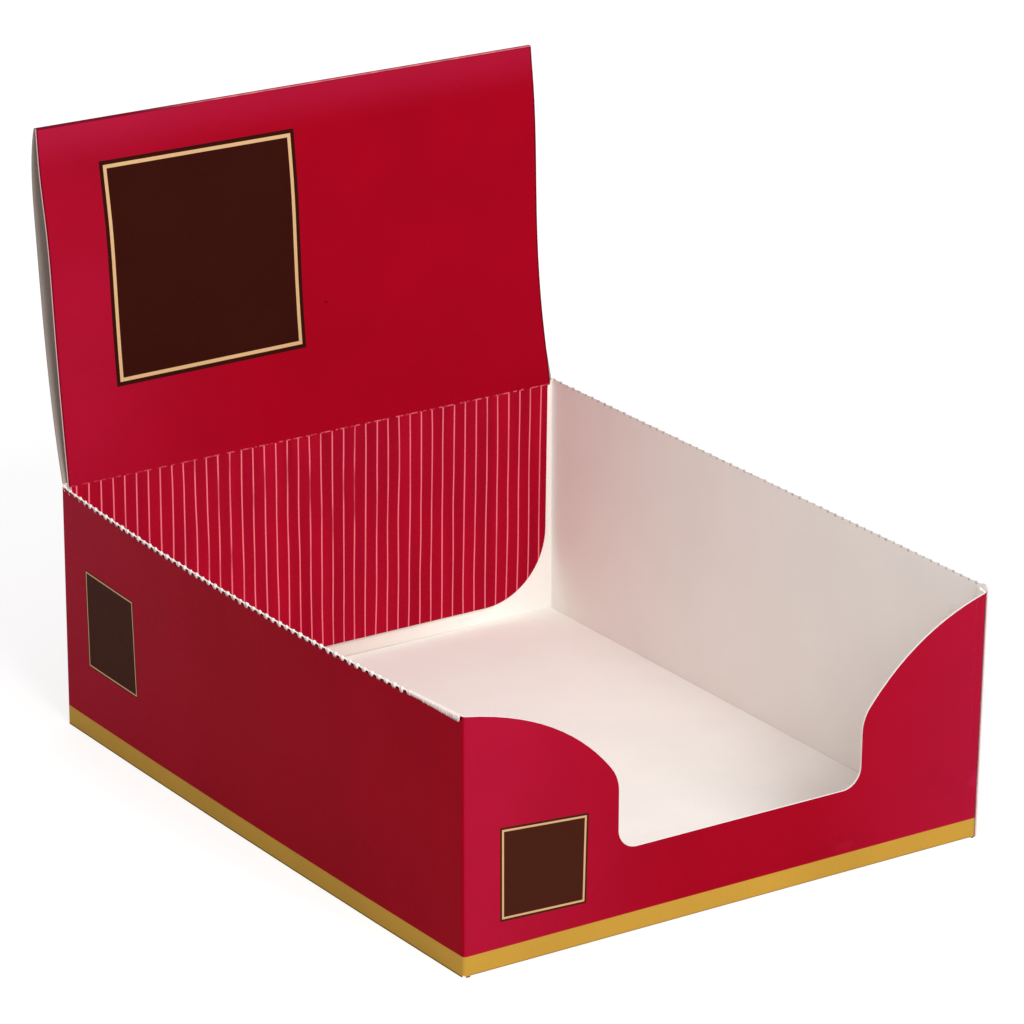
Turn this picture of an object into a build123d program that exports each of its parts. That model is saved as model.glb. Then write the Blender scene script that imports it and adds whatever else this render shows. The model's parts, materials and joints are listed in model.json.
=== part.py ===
from build123d import *
import math
import os

# Counter display box, folded from one sheet of printed carton board.
# X runs along the front, Y from the front to the back, Z up.
# The origin is the middle of the base, on the surface the box stands on.

os.makedirs("parts", exist_ok=True)

# Board and overall size, in millimetres
board = 0.6
width = 200.0
depth = 250.0
wall_height = 87.0
half_width = width / 2
half_depth = depth / 2
fold_radius = 1.2

# The left wall bulges outwards, most at its torn rim
rim_bulge = 5.2
foot_bulge = 0.8

# The front wall leans out by its glued corner, and the right wall's torn rim stands higher
corner_lean = 2.4
right_rim_height = 88.5
rim_end_slope = 1.2

# Front window, die-cut out of the front panel
window_left = -42.6
window_right = 51.3
sill_height = 29.3
sill_radius = 7.0
left_riser_top = 49.5
right_riser_top = 48.0
shoulder_radius = 13.5
shoulder_turn = 38.0
left_end_slope = 9.0
right_end_slope = 15.0
right_end_drop = 0.5

# Front panel's glue tab, stuck inside the right wall
tab_width = 15.0
tab_foot = 4.0
tab_top = 82.0
tab_taper = 5.0
raw_edge_setback = 0.25

# Floor panel, folded in from the front wall's foot and free on its other sides
floor_slit = 0.1
fold_half_length = half_width - 2 * fold_radius

# Stretch of wall that the glued corner is remade over, along the front and along the side
patch_length = 4 * fold_radius
patch_depth = 2 * fold_radius

# Torn perforation along the side walls' rims: a nub and a chipped face at each tie
tie_pitch = 4.0
tie_height = 0.5
nub_radius = 1.0
nub_sides = 9
chip_radius = 1.2
chip_sides = 7
chip_depth = 0.25
tear_variation = 0.18
tear_step = 2.4
chip_turn = 37.0
rear_margin = 2.5
front_margin = 3.0

# Stretch by the left front corner where the tear ran into the printed face
peel_length = 26.0
peel_depth_rear = 1.1
peel_depth_front = 2.3
peel_dip = 1.8

# Header: the lid folded double, standing on the back wall and a little higher at its left end
crease_gap = 0.3
fold_setback = 13.0
fold_height_left = 209.0
fold_height_right = 208.15
fold_rounding = 0.45
rear_fold_slope = -0.4
front_fold_slope = 0.1
rear_half_width_foot = 99.5
front_half_width_foot = 98.3
half_width_fold = 98.9

# How far each end of the header's two sheets leans back behind the back wall, at four heights
lean_heights = (110.0, 145.0, 175.0, 195.0)
rear_leans_left = (5.3, 11.0, 14.5, 15.8)
rear_leans_right = (6.6, 12.0, 14.3, 15.4)
front_leans_left = (0.9, 4.5, 7.7, 11.3)
front_leans_right = (3.9, 8.0, 9.1, 10.8)
rear_foot_slope = 0.3

# Tuck flap that hangs from the header's front sheet
flap_crease_height = 86.2
flap_crease_inset_left = 1.9
flap_crease_inset_right = 1.1
flap_foot_height = 6.8
flap_lean = 0.6
flap_bend_radius = 8.0
flap_turn_left = 6.0
flap_turn_right = 11.0
flap_half_width_top = 97.2
flap_half_width_foot = 95.6
flap_corner_radius = 26.0

# Room past a face, so that a cutting shape runs clear of it
clear = 5.0


def bulge_at(height):
    """How far the left wall stands out at mid-length, at a height."""
    return foot_bulge + (rim_bulge - foot_bulge) * height / wall_height


def lean_at(height):
    """How far the right front corner leans out, at a height."""
    return corner_lean * height / wall_height


def outline(height, left, right, front, back, corner):
    """The box's plan at a height, each side moved inwards by its own amount."""
    x0 = -half_width + left
    x1 = half_width - right
    y0 = -half_depth + front
    y1 = half_depth - back
    bowed = x0 - bulge_at(height)
    leant = y0 - lean_at(height)
    edges = [
        Line((x0 + corner, y0), (x1 - corner, leant)),
        RadiusArc((x1 - corner, leant), (x1, leant + corner), -corner),
        Line((x1, leant + corner), (x1, y1 - corner)),
        RadiusArc((x1, y1 - corner), (x1 - corner, y1), -corner),
        Line((x1 - corner, y1), (x0 + corner, y1)),
        RadiusArc((x0 + corner, y1), (x0, y1 - corner), -corner),
        ThreePointArc((x0, y1 - corner), (bowed, 0), (x0, y0 + corner)),
        RadiusArc((x0, y0 + corner), (x0 + corner, y0), -corner),
    ]
    return Pos(0, 0, height) * Face(Wire(edges))


def column(foot, top, left=0.0, right=0.0, front=0.0, back=0.0, corner=fold_radius):
    """A solid column of the box's plan, between two heights."""
    ends = [outline(z, left, right, front, back, corner) for z in (foot, top)]
    return loft(ends, ruled=True)


def box_between(low, high):
    """A plain box between its lowest and highest corners."""
    centre = [(a + b) / 2 for a, b in zip(low, high)]
    size = [b - a for a, b in zip(low, high)]
    return Pos(*centre) * Box(*size)


def along_x(face, start, end):
    """A face drawn in Y and Z, run along X from start to end."""
    return Pos(start, 0, 0) * extrude(Plane.YZ * face, end - start)


def along_y(face, start, end):
    """A face drawn in X and Z, run along Y from start to end."""
    return Pos(0, end, 0) * extrude(Plane.XZ * face, end - start)


def tie_places(front_end, rear_end):
    """The Y of each torn tie between two ends, and how large its tear is."""
    count = int((rear_end - front_end) / tie_pitch) + 1
    places = [rear_end - i * tie_pitch for i in range(count)]
    return [(y, 1 + tear_variation * math.sin(tear_step * i)) for i, y in enumerate(places)]


def walls():
    """Four walls round the box: one strip, folded at three corners."""
    inner = column(-clear, wall_height + clear, board, board, board, board, fold_radius - board)
    return column(0, wall_height) - inner


def front_corner():
    """The fold at the right front corner and the tab behind it, inside the right wall."""
    skin = column(0, wall_height, right=board)
    hollow = column(
        -clear, wall_height + clear, board, 2 * board, board, board, fold_radius - board
    )
    tab_end = -half_depth + tab_width
    profile = Polyline(
        (-half_depth - clear, 0),
        (-half_depth + patch_depth, 0),
        (-half_depth + patch_depth, tab_foot),
        (tab_end, tab_foot + tab_taper),
        (tab_end, tab_top - tab_taper),
        (-half_depth + patch_depth, tab_top),
        (-half_depth + patch_depth, wall_height),
        (-half_depth - clear, wall_height),
        close=True,
    )
    reach = along_x(make_face(profile), half_width - patch_length, half_width - board)
    return (skin - hollow) & reach


def right_edge():
    """The right wall's raw front edge, which laps over the tab, and its raised rim."""
    edge = -half_depth + raw_edge_setback
    profile = Polyline(
        (edge, 0),
        (-half_depth + patch_length, 0),
        (-half_depth + patch_length, wall_height),
        (half_depth - fold_radius, wall_height),
        (half_depth - fold_radius, right_rim_height),
        (edge - corner_lean + rim_end_slope, right_rim_height),
        (edge - corner_lean, wall_height),
        close=True,
    )
    return along_x(make_face(profile), half_width - board, half_width)


def tube():
    """The walls, closed at the right front corner by the glue tab."""
    corner_low = (half_width - patch_length, -half_depth - clear, -clear)
    corner_high = (half_width + clear, -half_depth + patch_depth, wall_height + clear)
    return walls() - box_between(corner_low, corner_high) + front_corner() + right_edge()


def floor():
    """The floor panel, joined to the front wall's foot by a fold."""
    gap = board + floor_slit
    panel = column(0, board, gap, gap, gap, gap, board / 2)
    tongue = box_between(
        (-fold_half_length, -half_depth + board / 2, 0),
        (fold_half_length, -half_depth + patch_depth, board),
    )
    inside = Pos(-half_depth + board, board) * Rectangle(board, board, align=Align.MIN)
    inside -= Pos(-half_depth + 2 * board, 2 * board) * Circle(board)
    return panel + tongue + along_x(inside, -fold_half_length, fold_half_length)


def foot_rounding():
    """What the front fold takes off the square corner of the front wall's foot."""
    corner = Pos(-half_depth - clear, 0) * Rectangle(
        clear + fold_radius, fold_radius, align=Align.MIN
    )
    corner -= Pos(-half_depth + fold_radius, fold_radius) * Circle(fold_radius)
    return along_x(corner, -fold_half_length, fold_half_length)


def shoulder(edge, riser_top, end, end_slope, side):
    """One side of the window, from its sill to the panel's corner; side is -1 for the left."""
    fillet_start = Vector(edge - side * sill_radius, sill_height)
    fillet_arc = JernArc(fillet_start, (side, 0), sill_radius, side * 90)
    riser = Line(fillet_arc @ 1, (edge, riser_top))
    bend = JernArc(riser @ 1, (0, 1), shoulder_radius, -side * shoulder_turn)
    slope = math.radians(end_slope)
    tangent = Vector(side * math.cos(slope), math.sin(slope))
    run_out = Spline(bend @ 1, end, tangents=[bend % 1, tangent])
    return [fillet_arc, riser, bend, run_out]


def window():
    """The die-cut window through the front panel."""
    left_end = Vector(-half_width, wall_height)
    right_end = Vector(half_width - board, wall_height - right_end_drop)
    left = shoulder(window_left, left_riser_top, left_end, left_end_slope, -1)
    right = shoulder(window_right, right_riser_top, right_end, right_end_slope, 1)
    sill = Line(left[0] @ 0, right[0] @ 0)
    over = wall_height + clear
    top = Polyline(left_end, (left_end.X, over), (right_end.X, over), right_end)
    shape = make_face(Wire([sill] + left + right + top.edges()))
    return along_y(shape, -half_depth - clear, -half_depth + board + raw_edge_setback)


def rim_above(front_end, rim):
    """What the tear takes off one rim, leaving a nub at each tie."""
    rear_end = half_depth - rear_margin
    strip_height = tie_height + clear
    strip = Pos(front_end, rim - tie_height) * Rectangle(
        rear_end - front_end + nub_radius, strip_height, align=Align.MIN
    )
    for y, size in tie_places(front_end + nub_radius, rear_end):
        strip -= Pos(y, rim - nub_radius) * RegularPolygon(nub_radius * size, nub_sides)
    return strip


def left_face(y):
    """X of the left wall's outer face at its rim."""
    reach = half_depth - fold_radius
    radius = (reach**2 + rim_bulge**2) / (2 * rim_bulge)
    return -half_width - rim_bulge + radius - math.sqrt(radius**2 - y**2)


def chips(front_end, rim, side):
    """The flakes of print that the ties pulled off one outer face; side is -1 for the left."""
    flakes = []
    for y, size in tie_places(front_end + nub_radius, half_depth - rear_margin):
        flake = RegularPolygon(chip_radius * size, chip_sides, rotation=chip_turn * y)
        flake = Pos(y, rim - tie_height) * flake
        face = left_face(y) if side < 0 else half_width
        depth_end = face - side * chip_depth
        flakes.append(along_x(flake, *sorted((depth_end, depth_end + side * clear))))
    return flakes


def peel():
    """The strip by the left front corner that lost its printed face."""
    start = -half_depth + fold_radius
    end = -half_depth + peel_length + tie_pitch / 2
    over = wall_height + clear
    lower = Polyline(
        (start, wall_height),
        (start + peel_dip, wall_height - peel_depth_front),
        (end, wall_height - peel_depth_rear),
        (end, over),
        (start, over),
        close=True,
    )
    strip = make_face(lower)
    inset = chip_depth
    core = column(-clear, over + clear, inset, inset, inset, inset, fold_radius - inset)
    return along_x(strip, -half_width - 3 * clear, -half_width + clear) - core


def tray():
    """The tray: walls, floor, window and torn rims, as one folded sheet."""
    body = tube() + floor() - foot_rounding() - window() - peel()
    left_front = -half_depth + peel_length
    right_front = -half_depth - corner_lean + front_margin
    left_tear = rim_above(left_front, wall_height)
    right_tear = rim_above(right_front, right_rim_height)
    body -= along_x(left_tear, -half_width - 3 * clear, -half_width + clear)
    body -= along_x(right_tear, half_width - clear, half_width + clear)
    flakes = chips(left_front, wall_height, -1) + chips(right_front, right_rim_height, 1)
    return body - flakes


def rear_path(leans, fold_height):
    """Middle line of the header's rear sheet in Y and Z, from the wall up to the fold."""
    foot = (half_depth - board / 2, wall_height + crease_gap)
    end = (half_depth + fold_setback + (board + crease_gap) / 2, fold_height - crease_gap / 2)
    return Spline(
        foot,
        *[(half_depth + lean, height) for lean, height in zip(leans, lean_heights)],
        end,
        tangents=[(rear_foot_slope, 1), (rear_fold_slope, 1)],
    )


def front_path(leans, fold_height, crease_inset, crease_turn):
    """Middle line of the front sheet and the tuck flap, from the flap's foot up to the fold."""
    foot = (half_depth - crease_inset - flap_lean, flap_foot_height - clear)
    crease = (half_depth - crease_inset, flap_crease_height)
    end = (half_depth + fold_setback - (board + crease_gap) / 2, fold_height - crease_gap / 2)
    flap = Line(foot, crease)
    bend = JernArc(flap @ 1, flap % 1, flap_bend_radius, -crease_turn)
    sheet = Spline(
        bend @ 1,
        *[(half_depth + lean, height) for lean, height in zip(leans, lean_heights)],
        end,
        tangents=[bend % 1, (front_fold_slope, 1)],
    )
    return Curve() + [flap, bend, sheet]


def round_the_fold(section, outward):
    """Rounds a sheet's outer corner at the top fold; outward is 1 towards the back."""
    ends = section.vertices().sort_by(Axis.Y)[-2:]
    outer = ends.sort_by(Axis.X)[-1 if outward > 0 else 0]
    return fillet(outer, fold_rounding)


def sheet_between(left, right, foot_half_width, foot_height):
    """A sheet stretched between its sections along its left and right edges."""
    slant = (half_width_fold - foot_half_width) / (fold_height_left - foot_height)
    start = foot_half_width - slant * foot_height
    left_plane = Plane(origin=(-start, 0, 0), x_dir=(0, 1, 0), z_dir=(1, 0, slant))
    right_plane = Plane(origin=(start, 0, 0), x_dir=(0, 1, 0), z_dir=(1, 0, -slant))
    return loft([left_plane * left, right_plane * right], ruled=True)


def beside_the_flap():
    """What is cut away round the tuck flap, with its two round corners."""
    flap = make_face(
        Polyline(
            (-flap_half_width_foot, flap_foot_height),
            (flap_half_width_foot, flap_foot_height),
            (flap_half_width_top, flap_crease_height),
            (-flap_half_width_top, flap_crease_height),
            close=True,
        )
    )
    flap = fillet(flap.vertices().sort_by(Axis.Y)[:2], flap_corner_radius)
    around = Pos(0, flap_crease_height) * Rectangle(
        width + clear, wall_height + clear, align=(Align.CENTER, Align.MAX)
    )
    return along_y(around - flap, half_depth - 2 * clear, half_depth + clear)


def header_back():
    """The lid's rear half, which stands on the back wall."""
    left = trace(rear_path(rear_leans_left, fold_height_left), board)
    right = trace(rear_path(rear_leans_right, fold_height_right), board)
    return sheet_between(
        round_the_fold(left, 1), round_the_fold(right, 1), rear_half_width_foot, wall_height
    )


def header_front():
    """The lid's front half with the tuck flap, folded down in front of the rear half."""
    left_path = front_path(
        front_leans_left, fold_height_left, flap_crease_inset_left, flap_turn_left
    )
    right_path = front_path(
        front_leans_right, fold_height_right, flap_crease_inset_right, flap_turn_right
    )
    left = round_the_fold(trace(left_path, board), -1)
    right = round_the_fold(trace(right_path, board), -1)
    sheet = sheet_between(left, right, front_half_width_foot, flap_crease_height)
    return sheet - beside_the_flap()


export_step(tray(), "parts/tray.step")
export_step(header_back(), "parts/header_back.step")
export_step(header_front(), "parts/header_front.step")
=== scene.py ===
import json
import math

import bmesh
import bpy
from mathutils import Matrix, Vector, noise


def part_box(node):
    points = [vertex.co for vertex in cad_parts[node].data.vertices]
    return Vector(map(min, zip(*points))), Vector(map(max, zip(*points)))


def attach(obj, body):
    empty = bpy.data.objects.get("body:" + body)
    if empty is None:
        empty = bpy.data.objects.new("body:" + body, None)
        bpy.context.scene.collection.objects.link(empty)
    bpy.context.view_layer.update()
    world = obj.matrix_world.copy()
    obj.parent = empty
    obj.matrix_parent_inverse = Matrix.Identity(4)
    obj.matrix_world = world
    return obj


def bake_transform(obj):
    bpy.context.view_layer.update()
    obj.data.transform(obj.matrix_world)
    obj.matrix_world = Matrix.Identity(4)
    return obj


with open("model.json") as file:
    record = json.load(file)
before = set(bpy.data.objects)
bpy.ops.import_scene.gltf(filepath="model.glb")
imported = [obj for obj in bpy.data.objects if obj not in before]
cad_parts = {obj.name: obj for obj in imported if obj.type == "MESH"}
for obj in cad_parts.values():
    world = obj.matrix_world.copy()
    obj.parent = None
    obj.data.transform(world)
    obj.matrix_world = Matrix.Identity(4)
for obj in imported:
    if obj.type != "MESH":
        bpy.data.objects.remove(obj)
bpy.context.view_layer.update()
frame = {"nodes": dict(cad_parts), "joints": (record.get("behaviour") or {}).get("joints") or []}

bl_info = {
    "name": "Counter display box",
    "version": (1, 0, 0),
    "blender": (4, 5, 0),
    "location": "View3D > Sidebar > Display Box",
    "description": "Finishes a folded carton display box and sets up its studio",
    "category": "Object",
}

# Lengths in this file are millimetres until they reach Blender, which works in metres
MM = 0.001

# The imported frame's sizes
tray_low, tray_high = (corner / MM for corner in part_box("tray"))
BACK_EDGE = (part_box("header_back")[1] / MM).x
FRONT_EDGE = (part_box("header_front")[1] / MM).x
HALF_WIDTH = tray_high.x
HALF_DEPTH = tray_high.y
RIGHT_RIM = tray_high.z
RIM_BULGE = -tray_low.x - HALF_WIDTH
TOP_FOLD = next(j for j in frame["joints"] if j["name"] == "top_fold")
FOLD_Y = TOP_FOLD["pos_m"][1] / MM
FOLD_Z = TOP_FOLD["pos_m"][2] / MM
FOLD_RISE = TOP_FOLD["axis"][2] / TOP_FOLD["axis"][0]
FOLD_GAP = 0.3

# The board and its folds
BOARD = 0.6
WALL_HEIGHT = 87.0
FOLD_RADIUS = 1.2
FOOT_BULGE = 0.8
CORNER_LEAN = 2.4
FLAP_CREASE_HEIGHT = 86.2

# The torn perforation along the side walls' rims
TIE_PITCH = 4.0
REAR_MARGIN = 2.5
FRONT_MARGIN = 3.0
TIE_HEIGHT = 0.5
NUB_RADIUS = 1.0
PEEL_LENGTH = 26.0
PEEL_DEPTH = 3.5
PEEL_TUFT_STEP = 1.15

# Where the first pinstripe runs, left of the middle
STRIPE_START = 95.1

# Half the width of the header's front sheet, at its foot and at the top fold
SHEET_EDGE_FOOT = 98.3
SHEET_EDGE_FOLD = 98.9

# Corners of the printed squares' outer gold line, in the plane of each panel
FRONT_SQUARE = ((-85.9, 16.5), (-55.3, 15.2), (-54.6, 44.2), (-85.9, 46.5))
LEFT_SQUARE = ((73.8, 27.1), (107.6, 27.1), (107.8, 61.3), (73.8, 61.2))
HEADER_SQUARE = ((-74.9, 118.4), (-1.9, 118.4), (-1.4, 192.4), (-74.8, 192.8))

# How far the fuzz of torn fibres turns its shading forwards and up
FUZZ_LEAN = (-0.8, 1.2)

# How sharply the board reflects, and how metallic the gold band and the thin lines are
GLOSS = 0.02
TRAY_METAL = 0.4
HEADER_METAL = 0.3

# Softness of a printed edge
PRINT_SOFT = 0.12

# Dents in the front wall: place with its distance out from the wall, size and strength, which sets
# both the dent's depth and its painted highlight
FRONT_DENTS = (
    ((98.6, 0.6, 21.0), (7.0, 3.0, 9.0), 0.9),
    ((46.0, 0.2, 10.0), (9.0, 3.0, 3.5), 0.35),
)
DENT_DEPTH = -0.5

# The rubbed corner at the left end of the front wall's foot, and a dark speck on the header
WORN_PLACE = (-HALF_WIDTH, -HALF_DEPTH, 0.2)
WORN_SIZE = (1.6, 1.6, 1.3)
SPECK_PLACE = (8.9, HALF_DEPTH + 4.9, 131.3)
SPECK_SIZE = (1.2, 3.0, 0.6)

# How much of the ink's or the board's lightness is left at darker places
FRONT_MIDDLE_SHADE = 0.94
NOTCH_SHADE = 0.2
TRAY_EDGE_SHADE = 0.5
FOOT_SHADE = 0.35
RAW_EDGE_SHADE = 0.8
HEADER_EDGE_SHADE = 0.45
OVER_FOLD_SHADE = 0.4
SPECK_SHADE = 0.4
CREASE_SHADE = 0.5

# The middle of the front wall's window, towards which the front wall's red is darker
WINDOW_MIDDLE = 5.0

# Levels of the paler painted-sheen red: towards both ends of the tray's front, painted highlights
# towards the left wall's rear, along the header's fold and towards its left end, and an even share
# over the tuck flap
FRONT_SHEEN = (0.05, 0.5)
LEFT_SHEEN = 0.35
FOLD_SHEEN = 0.6
HEADER_LEFT_SHEEN = 0.4
FLAP_SHEEN = 0.2

# The key lamp, in metres
LAMP_PLACE = (-0.05, -1.45, 1.1)
LAMP_TARGET = (0.0, 0.0, 0.08)
LAMP_SIZE = 0.9
LAMP_COLOUR = (1.0, 0.985, 0.96)

# The floor: its grey for the box's light, and its shadow and lift to white for the camera
FLOOR_COLOUR = (0.8, 0.8, 0.79, 1.0)
FLOOR_SHADOW = (0.5, 0.5, 0.5, 1.0)
FLOOR_LIFT = 0.68
WHITE = (1.0, 1.0, 1.0, 1.0)

# Steps along a crease strip
STRIP_STEPS = 40

# Makes the torn tufts come out the same each time
NOISE_SEED = 4

# The camera that sees the box at the photograph's angle
CAMERA_PLACE = (-938.31, -1421.42, 715.97)
CAMERA_TILT = 20.029
CAMERA_TURN = -33.439
CAMERA_LENS = 193.36
SENSOR = 36.0


def srgb(red, green, blue):
    """A colour as a screen shows it, from 0 to 255, as Blender's linear colour."""

    def linear(level):
        level /= 255
        return level / 12.92 if level <= 0.04045 else ((level + 0.055) / 1.055) ** 2.4

    return linear(red), linear(green), linear(blue), 1.0


def colour(name, description, *levels):
    """A colour setting, from its levels on a screen."""
    return bpy.props.FloatVectorProperty(
        name=name, description=description, subtype="COLOR", size=4, default=srgb(*levels)
    )


def length(name, description, millimetres):
    """A length setting."""
    return bpy.props.FloatProperty(
        name=name, description=description, unit="LENGTH", default=millimetres * MM
    )


class PrintSettings(bpy.types.PropertyGroup):
    """The print on the outside of the carton."""

    red: colour("Red", "Flood colour of the outside", 151, 2, 26)
    # Painted highlight colour: a paler red mixed in along folds, at dents and on parts of the
    # walls and header
    painted_sheen: colour(
        "Sheen",
        "Paler red where the varnish is handled, along folds and at dents",
        166, 24, 58,
    )
    brown: colour("Brown", "Colour of the header's square", 50, 14, 8)
    tray_brown: colour("Tray brown", "Colour of the tray's two squares", 63, 27, 17)
    gold: colour("Gold", "Metallic ink of the band along the foot", 196, 154, 62)
    keyline: colour("Keyline", "Colour of the thin line inside each square's edge", 212, 172, 126)
    pinstripe: colour("Pinstripe", "Colour of the thin lines on the tuck flap", 232, 116, 128)
    band_height: length("Band height", "Height of the gold band along the foot", 7.0)
    stripe_pitch: length("Stripe pitch", "Distance between two pinstripes", 4.624)
    stripe_width: length("Stripe width", "Width of a pinstripe", 0.5)


class BoardSettings(bpy.types.PropertyGroup):
    """The carton board itself."""

    white: colour("White", "Bare board inside the box and on its cut edges", 248, 244, 239)
    fibre: colour("Fibre", "Torn fibres of the perforation", 255, 236, 232)
    torn_grey: colour("Torn grey", "Greyer torn fibres along the right wall's rim", 206, 202, 198)
    # Painted shade: the darker board colour laid low on the back wall's inside
    painted_shading: colour("Handled", "Board low on the back wall, dulled by handling", 216, 198, 192)
    cut_edge: colour(
        "Cut edge",
        "Board on the cut edges that show beside the print",
        255, 214, 214,
    )
    # Painted shade: a darker board colour laid inside the header's fold, towards both ends of the
    # rear sheet, where shade falls between the sheets
    painted_fold_shade: colour(
        "Lining",
        "Shaded board inside the header's fold, along its ends",
        150, 134, 126,
    )
    tuft_length: length("Tuft length", "Length of the torn tuft at each tie, along the rim", 2.3)


class StudioSettings(bpy.types.PropertyGroup):
    """The lights and the floor."""

    key_power: bpy.props.FloatProperty(
        name="Key power",
        description="Power of the large soft lamp in front of the box",
        unit="POWER",
        default=23.0,
    )
    ambient: bpy.props.FloatProperty(
        name="Ambient",
        description="Level of the even light from all round",
        subtype="FACTOR",
        default=0.62,
    )
    floor_size: bpy.props.FloatProperty(
        name="Floor size",
        description="Length of the square floor",
        unit="LENGTH",
        default=12.0,
    )


class Tree:
    """Adds nodes to a node tree. Numbers go onto a node's own sockets, and sockets are linked."""

    def __init__(self, tree):
        self.tree = tree

    def feed(self, socket, source):
        """Links a socket, or sets its value."""
        if isinstance(source, bpy.types.NodeSocket):
            self.tree.links.new(source, socket)
        else:
            socket.default_value = source

    def add(self, kind, inputs=None, **settings):
        """A new node with its settings and inputs."""
        node = self.tree.nodes.new(kind)
        for name, value in settings.items():
            setattr(node, name, value)
        for name, source in (inputs or {}).items():
            self.feed(node.inputs[name], source)
        return node

    def math(self, operation, *sources):
        """The result of a Math node."""
        node = self.add("ShaderNodeMath", dict(enumerate(sources)), operation=operation)
        return node.outputs[0]

    def product(self, *sources):
        """Several values multiplied together."""
        result = sources[0]
        for source in sources[1:]:
            result = self.math("MULTIPLY", result, source)
        return result

    def most(self, *sources):
        """The largest of several values."""
        result = sources[0]
        for source in sources[1:]:
            result = self.math("MAXIMUM", result, source)
        return result

    def least(self, *sources):
        """The smallest of several values."""
        result = sources[0]
        for source in sources[1:]:
            result = self.math("MINIMUM", result, source)
        return result

    def without(self, source):
        """One minus a mask."""
        return self.math("SUBTRACT", 1.0, source)

    def vector(self, operation, *sources):
        """The vector result of a Vector Math node."""
        node = self.add("ShaderNodeVectorMath", dict(enumerate(sources)), operation=operation)
        return node.outputs["Vector"]

    def dot(self, first, second):
        """The dot product of two vectors."""
        node = self.add("ShaderNodeVectorMath", {0: first, 1: second}, operation="DOT_PRODUCT")
        return node.outputs["Value"]

    def split(self, source):
        """A vector's three parts."""
        return self.add("ShaderNodeSeparateXYZ", {0: source}).outputs[:]

    def join(self, x, y, z):
        """A vector from three parts."""
        return self.add("ShaderNodeCombineXYZ", {0: x, 1: y, 2: z}).outputs[0]

    def above(self, value, edge, soft):
        """A mask that turns from 0 to 1 where a value passes an edge, over a soft width."""
        node = self.add(
            "ShaderNodeMapRange",
            {"Value": value, "From Min": edge, "From Max": self.shifted(edge, soft)},
            interpolation_type="SMOOTHSTEP",
        )
        return node.outputs["Result"]

    def below(self, value, edge, soft):
        """A mask that turns from 1 to 0 where a value passes an edge."""
        return self.without(self.above(value, edge, soft))

    def negative(self, source):
        """A value with its sign turned."""
        return self.math("MULTIPLY", source, -1.0)

    def gap(self, first, second):
        """How far apart two values are."""
        return self.math("ABSOLUTE", self.math("SUBTRACT", first, second))

    def off_step(self, value, pitch):
        """How far a value is from the nearest whole step, in steps."""
        turn = self.math("DIVIDE", value, pitch)
        return self.gap(turn, self.math("ROUND", turn))

    def shifted(self, edge, by):
        """An edge moved by a number, as a number or a socket."""
        if isinstance(edge, bpy.types.NodeSocket):
            return self.math("ADD", edge, by)
        return edge + by

    def mapped(self, value, low, high, to_low, to_high):
        """A value taken from one range to another, and held inside it."""
        node = self.add(
            "ShaderNodeMapRange",
            {
                "Value": value,
                "From Min": low,
                "From Max": high,
                "To Min": to_low,
                "To Max": to_high,
            },
        )
        return node.outputs["Result"]

    def mixed(self, kind, mask, under, over, **settings):
        """The result of a Mix node, whose sockets end in the kind of data it mixes."""
        node = self.add("ShaderNodeMix", **settings)
        named = (("Factor_Float", mask), (f"A_{kind}", under), (f"B_{kind}", over))
        for name, source in named:
            self.feed(next(s for s in node.inputs if s.identifier == name), source)
        return next(s for s in node.outputs if s.identifier == f"Result_{kind}")

    def mix(self, mask, under, over):
        """One colour laid over another by a mask."""
        return self.mixed("Color", mask, under, over, data_type="RGBA")

    def blend(self, mask, under, over):
        """One number turned into another by a mask."""
        return self.mixed("Float", mask, under, over, data_type="FLOAT")

    def shade(self, colour, amount):
        """A colour made lighter or darker by a factor."""
        grey = self.join(amount, amount, amount)
        settings = {"data_type": "RGBA", "blend_type": "MULTIPLY"}
        return self.mixed("Color", 1.0, colour, grey, **settings)

    def darken(self, colour, mask, share):
        """A colour left with a share of its lightness where a mask is 1."""
        return self.shade(colour, self.blend(mask, 1.0, share))

    def noise(self, place, size, detail=2.0, roughness=0.5, distortion=0.0):
        """Noise whose lumps have a size in millimetres, from 0 to 1."""
        node = self.add(
            "ShaderNodeTexNoise",
            {
                "Vector": place,
                "Scale": 1 / size,
                "Detail": detail,
                "Roughness": roughness,
                "Distortion": distortion,
            },
        )
        return node.outputs["Fac"]


def emptied(holder):
    """The cleared node tree of a material or a world."""
    holder.use_nodes = True
    holder.node_tree.nodes.clear()
    return Tree(holder.node_tree)


def new_group(name, inputs, outputs):
    """A shader node group with named sockets, as its tree, its inputs and its output node."""
    group = bpy.data.node_groups.new(name, "ShaderNodeTree")
    for label, kind in inputs:
        group.interface.new_socket(name=label, in_out="INPUT", socket_type=kind)
    for label, kind in outputs:
        group.interface.new_socket(name=label, in_out="OUTPUT", socket_type=kind)
    tree = Tree(group)
    return tree, tree.add("NodeGroupInput").outputs, tree.add("NodeGroupOutput").inputs


# The sockets of the groups that make a surface
SURFACE_INPUTS = [("Place", "NodeSocketVector"), ("Colour", "NodeSocketColor")]
SURFACE_OUTPUTS = [
    ("Colour", "NodeSocketColor"),
    ("Roughness", "NodeSocketFloat"),
    ("Height", "NodeSocketFloat"),
]


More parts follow.
